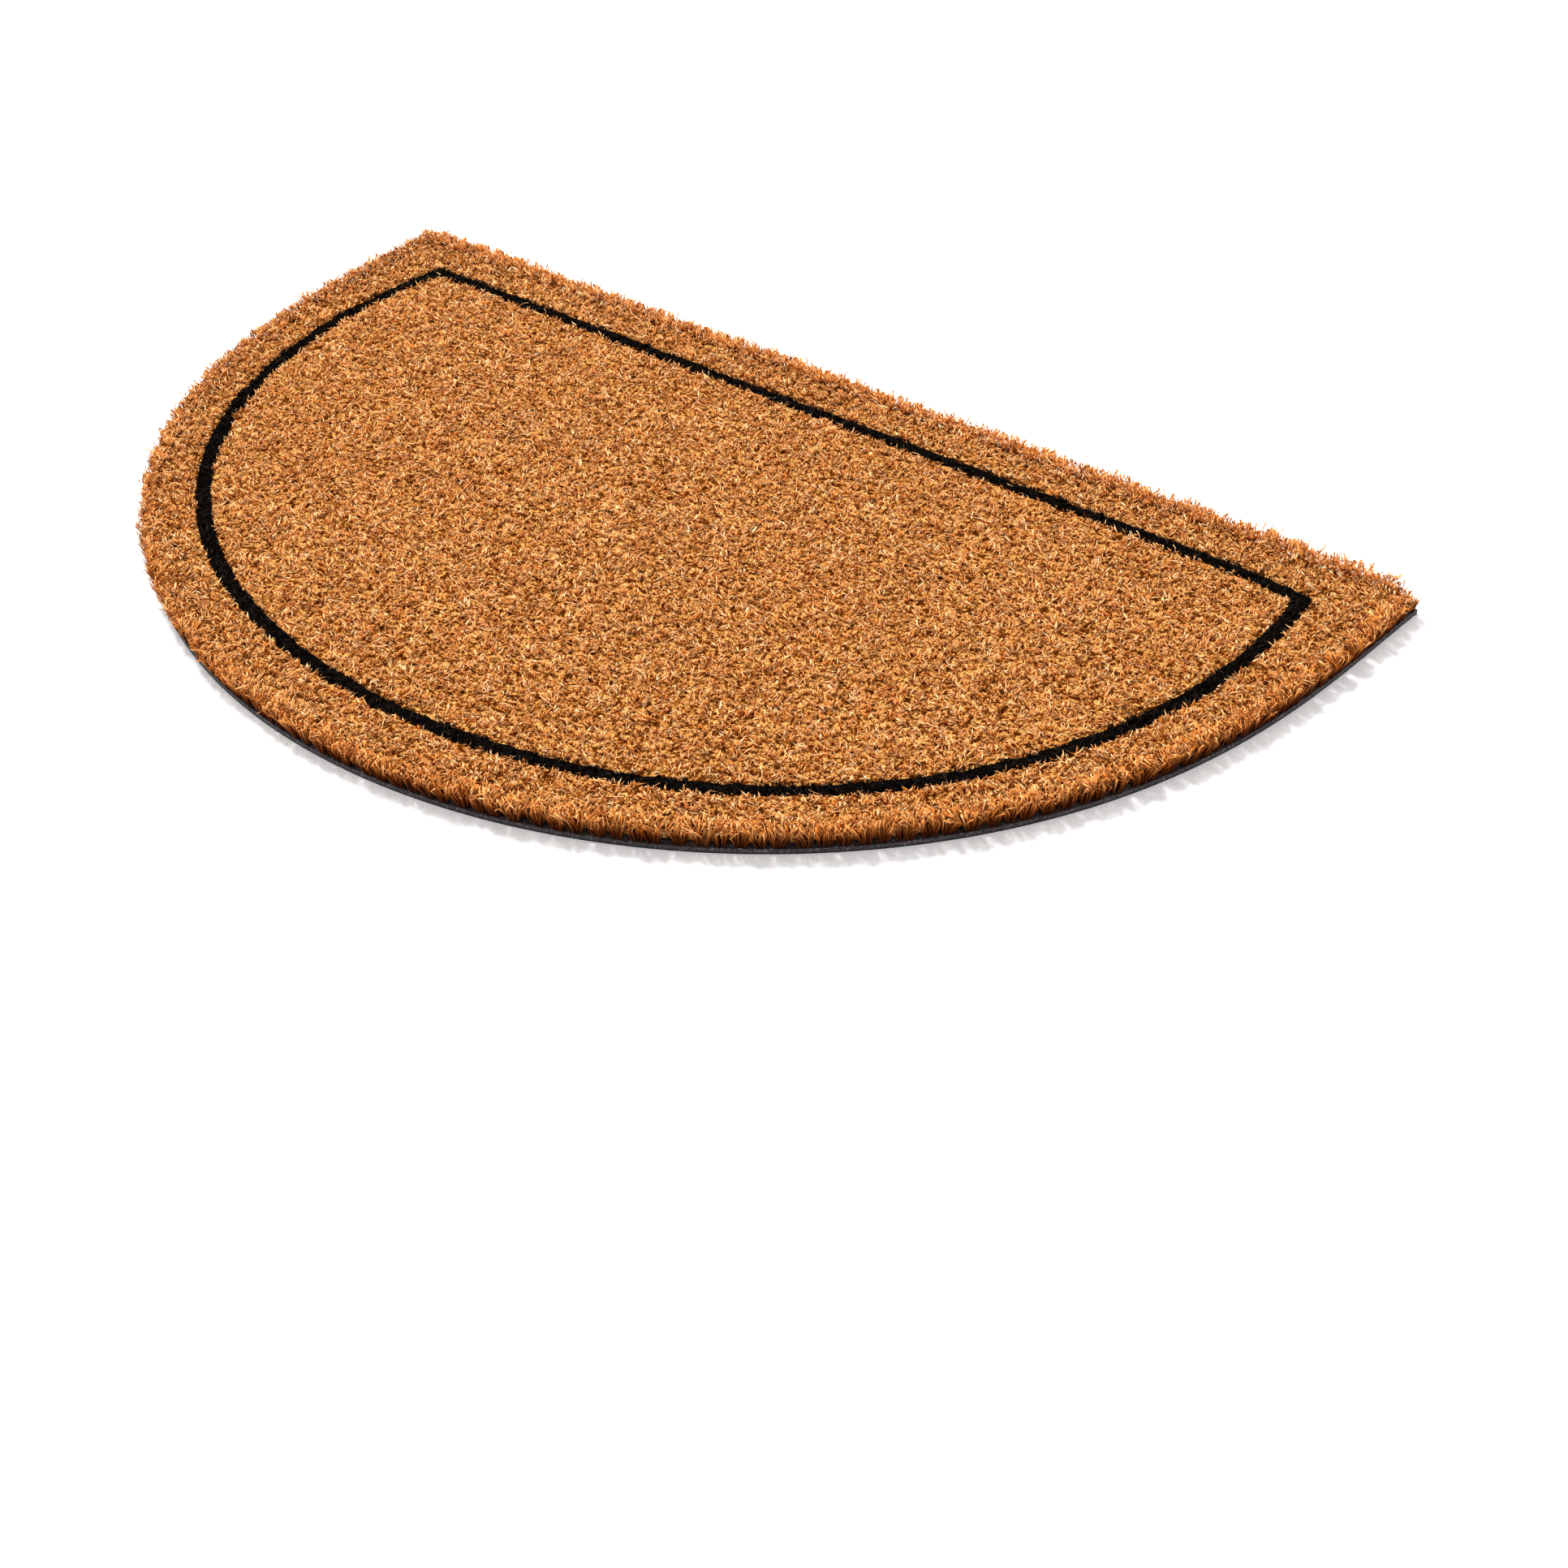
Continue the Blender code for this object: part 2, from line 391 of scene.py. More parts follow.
def crossed_ends(tree, place, cell, shift):
    """Short light strokes that lie another way in every small cell."""
    moved = tree.nodes.new("ShaderNodeVectorMath")
    moved.operation = "ADD"
    moved.inputs[1].default_value = (shift, shift * 0.7, 0.0)
    tree.links.new(place, moved.inputs[0])
    cells = tree.nodes.new("ShaderNodeTexVoronoi")
    cells.inputs["Scale"].default_value = 1.0 / cell
    tree.links.new(moved.outputs[0], cells.inputs["Vector"])
    local = tree.nodes.new("ShaderNodeVectorMath")
    local.operation = "SUBTRACT"
    tree.links.new(moved.outputs[0], local.inputs[0])
    tree.links.new(cells.outputs["Position"], local.inputs[1])
    chance = tree.nodes.new("ShaderNodeSeparateXYZ")
    tree.links.new(cells.outputs["Color"], chance.inputs["Vector"])
    angle = tree.nodes.new("ShaderNodeMath")
    angle.operation = "MULTIPLY"
    angle.inputs[1].default_value = FULL_TURN
    tree.links.new(chance.outputs["X"], angle.inputs[0])
    turn = tree.nodes.new("ShaderNodeVectorRotate")
    turn.rotation_type = "Z_AXIS"
    tree.links.new(local.outputs[0], turn.inputs["Vector"])
    tree.links.new(angle.outputs[0], turn.inputs["Angle"])
    squeeze = tree.nodes.new("ShaderNodeMapping")
    squeeze.inputs["Scale"].default_value = STROKE_SCALE
    tree.links.new(turn.outputs["Vector"], squeeze.inputs["Vector"])
    return noise_node(tree, squeeze.outputs["Vector"], scale=1.0, detail=1.0, roughness=0.5)


def bed_finish(name, stops):
    """Matt finish of light crossed fibre ends over dark pits, with painted shade between the ends and in
    the pits, coloured by the given stops.
    """
    finish = plain_finish(name, (0.1, 0.05, 0.02, 1.0), roughness=0.95)
    tree = finish.node_tree
    shader = tree.nodes["Principled BSDF"]
    shader.inputs["Specular IOR Level"].default_value = 0.0
    place = tree.nodes.new("ShaderNodeTexCoord").outputs["Object"]
    # Light fibre-end strokes with black between them, which the stops turn into painted shade.
    end_stops = [(0.42, (0.0, 0.0, 0.0)), (0.66, (1.0, 1.0, 1.0))]
    layers = [ramp_node(tree, end_stops, crossed_ends(tree, place, cell, shift))
              for cell, shift in STROKE_LAYERS]
    ends = mixed(tree, "LIGHTEN", 1.0, mixed(tree, "LIGHTEN", 1.0, layers[0], layers[1]), layers[2])
    # Small and broad dark pits: painted shade in the hollows between the tufts.
    fine = noise_node(tree, place, scale=420.0, detail=1.0)
    small = ramp_node(tree, [(0.38, (0.10, 0.10, 0.10)), (0.52, (1.0, 1.0, 1.0))], fine)
    level = tree.nodes.new("ShaderNodeVectorMath")
    level.operation = "MULTIPLY"
    level.inputs[1].default_value = LEVEL_ONLY
    tree.links.new(place, level.inputs[0])
    pits = noise_node(tree, level.outputs[0], PIT_SCALE, detail=1.0, roughness=0.5)
    broad = ramp_node(tree, [(PIT_SHARE, (0.04, 0.04, 0.04)), (PIT_SHARE + 0.07, (1.0, 1.0, 1.0))], pits)
    painted_pit_shade = mixed(tree, "MULTIPLY", 1.0, small, broad)
    height = mixed(tree, "MULTIPLY", 1.0, ends, painted_pit_shade)
    tree.links.new(ramp_node(tree, stops, height), shader.inputs["Base Color"])
    bumped(tree, shader, height, strength=1.0, distance=0.0010)
    return finish


bed = mesh_piece("pile_bed", bed_mesh(), None)
bed.data.materials.append(bed_finish("coir shade", COIR_SHADE))
bed.data.materials.append(bed_finish("dyed shade", DYED_SHADE))
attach(bed, "root")
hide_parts("coir_pile")

# Coir field: coconut fibres brushed into the vinyl and clipped level, inside the dyed line.
# They stand in small tufts that splay from their middles, and their clipped ends lie every way.

FIBRE_TALL = 0.0058
FIBRE_HALF_BROAD = 0.00037
FIBRE_TUFT = 0.0064
FIBRE_FOOT = 0.0110
LUMP_SCALE = 90.0
LUMP_LOW = 0.90
LUMP_RISE = 0.20
COMB_SCALE = 260.0
LEAN_MOST = 1.7
DROOP_LEAST = 0.35
BEND_POWER = 2.5
TUCK_POWER = 3.0
OWN_TINT = 0.80
PATCH_TINT = 0.30
PATCH_SCALE = 170.0
TINT_ON_MAP = 0.95
ROUND_ON_MAP = 0.05
CLIP_WAVE = 0.0026
CLIP_WAVE_SCALE = 110.0
CLIP_GIVE = 0.12
FRAY_FINE = 420.0
FRAY_BROAD = 120.0
FRAY_BROAD_SHARE = 1.4
FRAY_MIDDLE = 1.2
UPRIGHT = (0.0, 0.0, 1.0)


def fibre_mesh(name, tall, half_broad, shares, shade=1.0, pointed=False):
    """Three-sided fibre with a ring at each share of its height, and flat or pointed ends."""
    bm = bmesh.new()
    rings = []
    for share in shares:
        at_point = pointed and share in (0.0, 1.0)
        radius = 0.0 if at_point else half_broad
        angles = [2.0 * math.pi * side / 3 for side in range(1 if at_point else 3)]
        corners = [(math.cos(a) * radius, math.sin(a) * radius, tall * share) for a in angles]
        rings.append([bm.verts.new(corner) for corner in corners])
    # The height up the map, raised to the power shade, sets how far up the painted root shade reaches. The
    # fibre tree also bends the fibre by it.
    uv = bm.loops.layers.uv.new("OFBake")

    def wall(corners, round_at):
        face = bm.faces.new(corners)
        face.smooth = True
        for loop, across in zip(face.loops, round_at):
            loop[uv].uv = (across, (loop.vert.co.z / tall)**shade)

    for i in range(3):
        j = (i + 1) % 3
        left, right = i / 3, (i + 1) / 3
        for lower, upper in zip(rings, rings[1:]):
            if len(lower) == 1:
                wall((lower[0], upper[j], upper[i]), ((left + right) / 2, right, left))
            elif len(upper) == 1:
                wall((lower[i], lower[j], upper[0]), (left, right, (left + right) / 2))
            else:
                wall((lower[i], lower[j], upper[j], upper[i]), (left, right, right, left))
    for ring, turn in ((rings[0], -1), (rings[-1], 1)):
        if len(ring) == 3:
            wall(ring[::turn], (0.0, 1.0, 0.5))
    mesh = bpy.data.meshes.new(name)
    bm.to_mesh(mesh)
    bm.free()
    return mesh


TREE_INPUTS = (
    ("Bed", "NodeSocketGeometry"), ("Tufts", "NodeSocketObject"), ("Fibre", "NodeSocketObject"),
    ("Per Square Metre", "NodeSocketFloat"), ("Seed", "NodeSocketInt"), ("Tuft Size", "NodeSocketFloat"),
    ("Gather", "NodeSocketFloat"), ("Splay", "NodeSocketFloat"), ("Outward", "NodeSocketFloat"),
    ("Comb", "NodeSocketFloat"), ("Stray", "NodeSocketFloat"), ("Tuck", "NodeSocketFloat"),
    ("Level", "NodeSocketFloat"), ("Clip", "NodeSocketFloat"), ("Gaps", "NodeSocketFloat"),
    ("Droop", "NodeSocketFloat"), ("Uneven", "NodeSocketFloat"), ("Bend", "NodeSocketFloat"),
    ("Sway", "NodeSocketFloat"), ("Sway Size", "NodeSocketFloat"), ("Tone", "NodeSocketFloat"),
    ("Palest", "NodeSocketFloat"), ("Line", "NodeSocketObject"), ("Line Half Width", "NodeSocketFloat"),
    ("Ragged", "NodeSocketFloat"), ("Dye", "NodeSocketMaterial"),
)


def fibre_tree():
    """Geometry nodes that stand fibres on a region in splayed tufts, bend them and dye the line."""
    tree = bpy.data.node_groups.new("coir tufts", "GeometryNodeTree")
    for name, kind in TREE_INPUTS:
        tree.interface.new_socket(name, in_out="INPUT", socket_type=kind)
    tree.interface.new_socket("Pile", in_out="OUTPUT", socket_type="NodeSocketGeometry")
    given = tree.nodes.new("NodeGroupInput").outputs
    result = tree.nodes.new("NodeGroupOutput").inputs

    def node(kind, settings=(), **sockets):
        """A node whose sockets are named, with _ for a blank, or numbered as i0, i1 and so on."""
        made = tree.nodes.new(kind)
        for name, value in dict(settings).items():
            setattr(made, name, value)
        for name, value in sockets.items():
            key = int(name[1:]) if name[0] == "i" and name[1:].isdigit() else name.replace("_", " ")
            if isinstance(value, bpy.types.NodeSocket):
                tree.links.new(value, made.inputs[key])
            else:
                made.inputs[key].default_value = value
        return made

    def number(operation, *values):
        sockets = {f"i{k}": value for k, value in enumerate(values)}
        return node("ShaderNodeMath", {"operation": operation}, **sockets).outputs[0]

    def vector(operation, *values, out="Vector"):
        sockets = {f"i{k}": value for k, value in enumerate(values)}
        return node("ShaderNodeVectorMath", {"operation": operation}, **sockets).outputs[out]

    def scaled(value, share):
        return node("ShaderNodeVectorMath", {"operation": "SCALE"}, i0=value, Scale=share).outputs["Vector"]

    def summed(*values):
        total = values[0]
        for value in values[1:]:
            total = vector("ADD", total, value)
        return total

    def chance(low, high, offset):
        seed = number("ADD", given["Seed"], offset)
        draw = node("FunctionNodeRandomValue", {"data_type": "FLOAT"}, i2=low, i3=high, Seed=seed)
        return draw.outputs[1]

    def chance_vector(low, high, offset):
        seed = number("ADD", given["Seed"], offset)
        draw = node("FunctionNodeRandomValue", {"data_type": "FLOAT_VECTOR"}, i0=low, i1=high, Seed=seed)
        return draw.outputs[0]

    def cloud(where, scale, output="Color"):
        made = node("ShaderNodeTexNoise", {"noise_dimensions": "3D"}, Vector=where, Scale=scale, Detail=1.0)
        return made.outputs[output]

    def read(name, kind="FLOAT"):
        return node("GeometryNodeInputNamedAttribute", {"data_type": kind}, Name=name).outputs[0]

    def kept(geometry, name, value, kind="FLOAT", domain="POINT"):
        return node("GeometryNodeStoreNamedAttribute", {"data_type": kind, "domain": domain},
                    Geometry=geometry, Name=name, Value=value).outputs[0]

    stood = node("GeometryNodeDistributePointsOnFaces", {"distribute_method": "RANDOM"},
                 Mesh=given["Bed"], Density=given["Per Square Metre"], Seed=given["Seed"]).outputs["Points"]
    place = node("GeometryNodeInputPosition").outputs[0]
    tufts = node("GeometryNodeObjectInfo", Object=given["Tufts"]).outputs["Geometry"]
    nearest = node("GeometryNodeProximity", {"target_element": "POINTS"}, i0=tufts, Source_Position=place)
    middle = nearest.outputs["Position"]
    away = vector("MULTIPLY", vector("SUBTRACT", place, middle), LEVEL_ONLY)
    facing = read("outward", "FLOAT_VECTOR")
    straight_out = vector("NORMALIZE", facing)
    outward_part = scaled(straight_out, vector("DOT_PRODUCT", away, straight_out, out="Value"))
    away = vector("SUBTRACT", away, outward_part)
    share = scaled(away, number("DIVIDE", 1.0, given["Tuft Size"]))
    far = vector("LENGTH", share, out="Value")
    lump = cloud(middle, LUMP_SCALE, "Fac")

    comb = vector("SUBTRACT", cloud(middle, COMB_SCALE), (0.5, 0.5, 0.5))
    comb = vector("MULTIPLY", comb, (4.0, 4.0, 0.0))
    stray = chance_vector((-1.0, -1.0, 0.0), (1.0, 1.0, 0.0), 1)
    fan = summed(scaled(share, given["Splay"]), scaled(facing, given["Outward"]))
    lean = summed(fan, scaled(comb, given["Comb"]), scaled(stray, given["Stray"]), UPRIGHT)
    droop = number("SUBTRACT", 1.0, number("MULTIPLY", given["Droop"], number("MULTIPLY", far, far)))
    tall = number("MULTIPLY", number("MAXIMUM", droop, DROOP_LEAST),
                  number("ADD", 1.0, number("MULTIPLY", given["Uneven"], chance(-1.0, 0.6, 3))))
    tall = number("MULTIPLY", tall, number("ADD", LUMP_LOW, number("MULTIPLY", LUMP_RISE, lump)))
    longer = number("SUBTRACT", number("MINIMUM", vector("LENGTH", lean, out="Value"), LEAN_MOST), 1.0)
    tall = number("MULTIPLY", tall, number("ADD", 1.0, number("MULTIPLY", given["Level"], longer)))
    tall = number("MULTIPLY", tall, number("SUBTRACT", 1.0, read("low")))
    patch = number("MULTIPLY", 0.5, number("ADD", lump, cloud(place, PATCH_SCALE, "Fac")))
    own_tint = number("MULTIPLY", OWN_TINT, chance(-0.04, 1.0, 5))
    tint = number("ADD", own_tint, number("MULTIPLY", PATCH_TINT, patch))
    # The tint is scaled by Tone. Below 1, as on the rim locks, it is painted shade that darkens them.
    tint = number("MAXIMUM", number("MULTIPLY", tint, given["Tone"]), given["Palest"])

    pits = cloud(vector("MULTIPLY", place, LEVEL_ONLY), PIT_SCALE, "Fac")
    bare = number("LESS_THAN", pits, given["Gaps"])
    left = node("GeometryNodeDeleteGeometry", {"domain": "POINT"}, Geometry=stood, Selection=bare)
    points = kept(left.outputs[0], "tint", tint)
    bend = scaled(chance_vector((-1.0, -1.0, -0.5), (1.0, 1.0, 0.0), 6), given["Bend"])
    points = kept(points, "bend", bend, "FLOAT_VECTOR")
    points = kept(points, "fan", fan, "FLOAT_VECTOR")
    points = kept(points, "lean", lean, "FLOAT_VECTOR")
    points = kept(points, "tall", tall)
    points = node("GeometryNodeSetPosition", Geometry=points,
                  Offset=scaled(away, number("MULTIPLY", -1.0, given["Gather"]))).outputs[0]
    spin = node("ShaderNodeCombineXYZ", Z=chance(0.0, FULL_TURN, 2)).outputs[0]
    turned = node("FunctionNodeAlignRotationToVector", {"axis": "Z"}, Rotation=spin,
                  Vector=read("lean", "FLOAT_VECTOR")).outputs[0]
    broad = chance(0.75, 1.25, 4)
    size = node("ShaderNodeCombineXYZ", X=broad, Y=broad, Z=read("tall")).outputs[0]
    shape = node("GeometryNodeObjectInfo", Object=given["Fibre"]).outputs["Geometry"]
    planted = node("GeometryNodeInstanceOnPoints",
                   Points=points, Instance=shape, Rotation=turned, Scale=size)
    real = node("GeometryNodeRealizeInstances", Geometry=planted.outputs[0]).outputs[0]

    own = read("tint")
    across, upward, _ = node("ShaderNodeSeparateXYZ", Vector=read("OFBake", "FLOAT_VECTOR")).outputs
    own_bend = read("bend", "FLOAT_VECTOR")
    sway = cloud(vector("ADD", place, own_bend), number("DIVIDE", 1.0, given["Sway Size"]))
    sway = vector("MULTIPLY", vector("SUBTRACT", sway, (0.5, 0.5, 0.6)), (4.0, 4.0, 2.0))
    tuck = number("MULTIPLY", number("POWER", upward, TUCK_POWER), given["Tuck"])
    moved = node("GeometryNodeSetPosition", Geometry=real, Offset=summed(
        scaled(own_bend, number("POWER", upward, BEND_POWER)),
        scaled(read("fan", "FLOAT_VECTOR"), tuck),
        scaled(sway, number("MULTIPLY", upward, given["Sway"])))).outputs[0]
    tinted = number("ADD", number("MULTIPLY", own, TINT_ON_MAP), number("MULTIPLY", across, ROUND_ON_MAP))
    wave = number("SUBTRACT", cloud(place, CLIP_WAVE_SCALE, "Fac"), 0.5)
    level = number("ADD", given["Clip"], number("MULTIPLY", CLIP_WAVE, wave))
    x, y, z = node("ShaderNodeSeparateXYZ", Vector=place).outputs
    lower = number("ADD", level, number("MULTIPLY", CLIP_GIVE, number("SUBTRACT", z, level)))
    clipped = node("ShaderNodeCombineXYZ", X=x, Y=y, Z=number("MINIMUM", z, lower)).outputs[0]
    moved = node("GeometryNodeSetPosition", Geometry=moved, Position=clipped).outputs[0]
    on_map = node("ShaderNodeCombineXYZ", X=tinted, Y=upward).outputs[0]
    mapped = kept(moved, "OFBake", on_map, "FLOAT2", "CORNER")
    line = node("GeometryNodeObjectInfo", Object=given["Line"]).outputs["Geometry"]
    near = node("GeometryNodeProximity", {"target_element": "EDGES"}, i0=line,
                Source_Position=vector("MULTIPLY", place, LEVEL_ONLY)).outputs["Distance"]
    broad_fray = number("MULTIPLY", FRAY_BROAD_SHARE, cloud(place, FRAY_BROAD, "Fac"))
    fray = number("ADD", cloud(place, FRAY_FINE, "Fac"), broad_fray)
    fray = number("MULTIPLY", number("SUBTRACT", fray, FRAY_MIDDLE), given["Ragged"])
    black = number("LESS_THAN", near, number("ADD", given["Line Half Width"], fray))
    dressed = node("GeometryNodeSetMaterial", Geometry=mapped, Selection=black, Material=given["Dye"])
    tree.links.new(dressed.outputs[0], result["Pile"])
    return tree


FIBRE_TREE = fibre_tree()


def stand_fibres(name, region, settings):
    """Run the fibre tree on a region mesh and keep what it makes as a plain mesh."""
    guide = bpy.data.objects.new(name + "_guide", region)
    bpy.context.scene.collection.objects.link(guide)
    grower = guide.modifiers.new("fibres", "NODES")
    grower.node_group = FIBRE_TREE
    for socket in FIBRE_TREE.interface.items_tree:
        if socket.in_out == "INPUT" and socket.name in settings:
            grower[socket.identifier] = settings[socket.name]
    bpy.context.view_layer.update()
    whole = guide.evaluated_get(bpy.context.evaluated_depsgraph_get())
    mesh = bpy.data.meshes.new_from_object(whole)
    mesh.name = name
    guide.modifiers.remove(grower)
    bpy.data.objects.remove(guide)
    for extra in ("tint", "outward", "low", "bend", "fan", "lean", "tall"):
        if extra in mesh.attributes:
            mesh.attributes.remove(mesh.attributes[extra])
    piece = mesh_piece(name, mesh, None)
    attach(piece, "root")
    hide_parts("coir_pile")
    return piece


def fibre_finish(name, tints, root_shade, roughness, gloss):
    """Finish that reads a fibre's own tint across its map, and its height up the map for painted shade that
    darkens it towards its root.
    """
    finish = plain_finish(name, (*tints[0][1], 1.0), roughness)
    tree = finish.node_tree
    shader = tree.nodes["Principled BSDF"]
    shader.inputs["Specular IOR Level"].default_value = gloss
    spot = tree.nodes.new("ShaderNodeUVMap")
    spot.uv_map = "OFBake"
    parts = tree.nodes.new("ShaderNodeSeparateXYZ")
    tree.links.new(spot.outputs["UV"], parts.inputs["Vector"])
    colour = ramp_node(tree, tints, parts.outputs["X"])
    shade = ramp_node(tree, root_shade, parts.outputs["Y"])
    tree.links.new(mixed(tree, "MULTIPLY", 1.0, colour, shade), shader.inputs["Base Color"])
    return finish


# Coir colours from dark to pale: the lower stops are the fibres' own colours. The palest stops are partly
# painted highlights, which stand in for the gloss the fibres are not given.
COIR_TINTS_AND_HIGHLIGHTS = [(0.0, (0.30, 0.062, 0.005)), (0.26, (0.66, 0.208, 0.034)),
              (0.55, (0.95, 0.43, 0.137)), (0.82, (1.0, 0.62, 0.29)), (1.0, (1.0, 0.76, 0.47))]
DYED_TINTS = [(0.0, (0.003, 0.002, 0.0015)), (0.75, (0.008, 0.006, 0.005)), (1.0, (0.036, 0.023, 0.014))]
# Painted shade: each fibre darkens towards its root, where it stands in the shade of the others. Dyed
# fibres darken less.
COIR_ROOT_SHADE = [(0.0, (0.09, 0.038, 0.016)), (0.25, (0.37, 0.24, 0.16)),
              (0.55, (0.80, 0.71, 0.64)), (0.85, (1.0, 1.0, 1.0))]
DYED_ROOT_SHADE = [(0.0, (0.5, 0.5, 0.5)), (0.6, (1.0, 1.0, 1.0))]
coir = fibre_finish("coir", COIR_TINTS_AND_HIGHLIGHTS, COIR_ROOT_SHADE, roughness=0.65, gloss=0.02)
dyed = fibre_finish("dyed coir", DYED_TINTS, DYED_ROOT_SHADE, roughness=0.85, gloss=0.04)


def point_guide(name, points, height, joined=False):
    """Bare points, or a closed run of edges, that the fibre tree measures from."""
    mesh = bpy.data.meshes.new(name)
    edges = [(i, (i + 1) % len(points)) for i in range(len(points))] if joined else []
    mesh.from_pydata([(x, y, height) for x, y in points], edges, [])
    return mesh_piece(name, mesh, None)


def field_region(low_x, high_x):
    """Flat polygon of the field between two places along X."""
    bm = bmesh.new()
    bm.faces.new([bm.verts.new((x, y, FIBRE_FOOT)) for x, y in line_inner])
    for place, clear_outer in ((low_x, False), (high_x, True)):
        whole = bm.verts[:] + bm.edges[:] + bm.faces[:]
        bmesh.ops.bisect_plane(bm, geom=whole, plane_co=(place, 0, 0), plane_no=(1, 0, 0),
                               clear_inner=not clear_outer, clear_outer=clear_outer)
    mesh = bpy.data.meshes.new("field_region")
    bm.to_mesh(mesh)
    bm.free()
    return mesh


short_mesh = fibre_mesh("short_fibre", FIBRE_TALL, FIBRE_HALF_BROAD, (0.0, 0.62, 1.0), pointed=True)
short_fibre = mesh_piece("short_fibre_guide", short_mesh, coir)
field_tufts = point_guide("field_tufts", scattered(FIBRE_TUFT, jitter=0.35, seed=31), FIBRE_FOOT)
line_guide = point_guide("line_guide", line_loop, 0.0, joined=True)

FIELD_SETTINGS = {
    "Tufts": field_tufts, "Fibre": short_fibre, "Per Square Metre": 410000.0, "Seed": 10,
    "Tuft Size": FIBRE_TUFT, "Gather": 0.35, "Splay": 1.15, "Outward": 0.0, "Comb": 1.0, "Stray": 0.4,
    "Tuck": 0.0, "Level": 0.9, "Clip": 0.0166, "Gaps": PIT_SHARE, "Droop": 1.0, "Uneven": 0.20,
    "Bend": 0.0018, "Sway": 0.0024, "Sway Size": 0.0035, "Tone": 1.0, "Palest": 0.0,
    "Line": line_guide, "Line Half Width": LINE_BROAD / 2, "Ragged": 0.0032, "Dye": dyed,
}
FIELD_CUTS = (-1.0, -0.085, 0.085, 1.0)

for order, (low_x, high_x) in enumerate(zip(FIELD_CUTS, FIELD_CUTS[1:])):
    settings = dict(FIELD_SETTINGS, Seed=10 + 20 * order)
    stand_fibres(f"coir_field_{order + 1}", field_region(low_x, high_x), settings)

# Dyed line: the same fibres, sprayed black through a stencil, so the tips are black and matt
# and the edges of the line are ragged by the width of a fibre or two.


def band_region(name, outer, inner, height, first=0, last=None, rise=0.0):
    """Band between two loops, or between two of their points; its outer side may rise."""
    bm = bmesh.new()
    sides = ((outer, height + rise), (inner, height))
    rings = [[bm.verts.new((x, y, z)) for x, y in loop] for loop, z in sides]
    for face in list(ring_walls(rings))[first:last]:
        bm.faces.new(face)
    mesh = bpy.data.meshes.new(name)
    bm.to_mesh(mesh)
    bm.free()
    return mesh


line_region = band_region("line_region", line_outer, line_inner, FIBRE_FOOT)
dyed_line = stand_fibres("dyed_line", line_region, dict(FIELD_SETTINGS, Seed=90))

# Coir border: the same brushed fibre between the dyed line and the rim, clipped a touch higher.
# Its back edge, along the straight side and round the left corner, stands fuller and higher still.

BORDER_INSET = 0.0050
BORDER_RISE = 0.0012
BACK_OUTER = 0.0008
BACK_INNER = -0.0075
BACK_FOOT = FIBRE_FOOT + 0.0006
BACK_RISE = 0.0016
BACK_START = 2
BACK_REACH = LOOP_STRAIGHT + 45

border_rim = eased(mitred(outline, -BORDER_INSET), 1)
border_region = band_region("border_region", border_rim, line_outer, FIBRE_FOOT, rise=BORDER_RISE)
border = stand_fibres("coir_border", border_region, dict(FIELD_SETTINGS, Seed=110, Clip=0.0168))

back_outer = np.roll(mitred(outline, BACK_OUTER), -LOOP_CURVED, 0)
back_inner = np.roll(mitred(outline, BACK_INNER), -LOOP_CURVED, 0)
back_region = band_region("back_region", back_outer, back_inner, BACK_FOOT,
                          BACK_START, BACK_REACH, rise=BACK_RISE)
back_edge = stand_fibres("coir_back_edge", back_region, dict(FIELD_SETTINGS, Seed=112, Clip=0.0182))

# Rim locks: the outermost fibres, free on one side, which fan out over the cut edge in curly locks.
# They are narrow at the foot and broad above, with dark gaps between one foot and the next, partly real
# shade and partly painted root shade on the fibres.
# At the right corner they are lower and blunter.

RIM_FOOT = BACKING_THICK - 0.0002
RIM_TALL = 0.0160
RIM_HALF_BROAD = 0.00020
RIM_OUTER = -0.0005
RIM_INNER = -0.0068
INNER_OUTWARD = 0.3
LOCK_LINE = -0.0028
LOCK_STEP = 0.0100
LOCK_JITTER = 0.3
LOCK_SEED = 41
CORNER_BLUNT = 0.0012
CORNER_BLUNT_REACH = 0.012
CORNER_LOW = 0.34
CORNER_LOW_REACH = 0.011


def lock_middles(loop, step, jitter, seed):
    """Middles of the locks at uneven steps along a loop."""
    chance = np.random.default_rng(seed)
    around = np.concatenate([loop, loop[:1]])
    run = np.concatenate([[0.0], np.cumsum(np.linalg.norm(np.diff(around, axis=0), axis=1))])
    count = int(run[-1] / step)
    want = (np.arange(count) + chance.uniform(-jitter, jitter, count)) * run[-1] / count % run[-1]
    return np.stack([np.interp(want, run, around[:, 0]), np.interp(want, run, around[:, 1])], 1)


out_of_rim = outward(outline, 3)
corner_gap = np.linalg.norm(outline - outline[LOOP_CURVED], axis=1)
corner_blunt = CORNER_BLUNT * np.exp(-(corner_gap / CORNER_BLUNT_REACH)**2)
corner_low = np.tile(CORNER_LOW * np.exp(-(corner_gap / CORNER_LOW_REACH)**2), 2)
rim_outer = mitred(outline, RIM_OUTER) - out_of_rim * corner_blunt[:, None]
rim_inner = eased(mitred(outline, RIM_INNER))
rim_out = np.zeros((2 * len(outline), 3))
rim_out[:len(outline), :2] = out_of_rim
rim_out[len(outline):, :2] = out_of_rim * INNER_OUTWARD

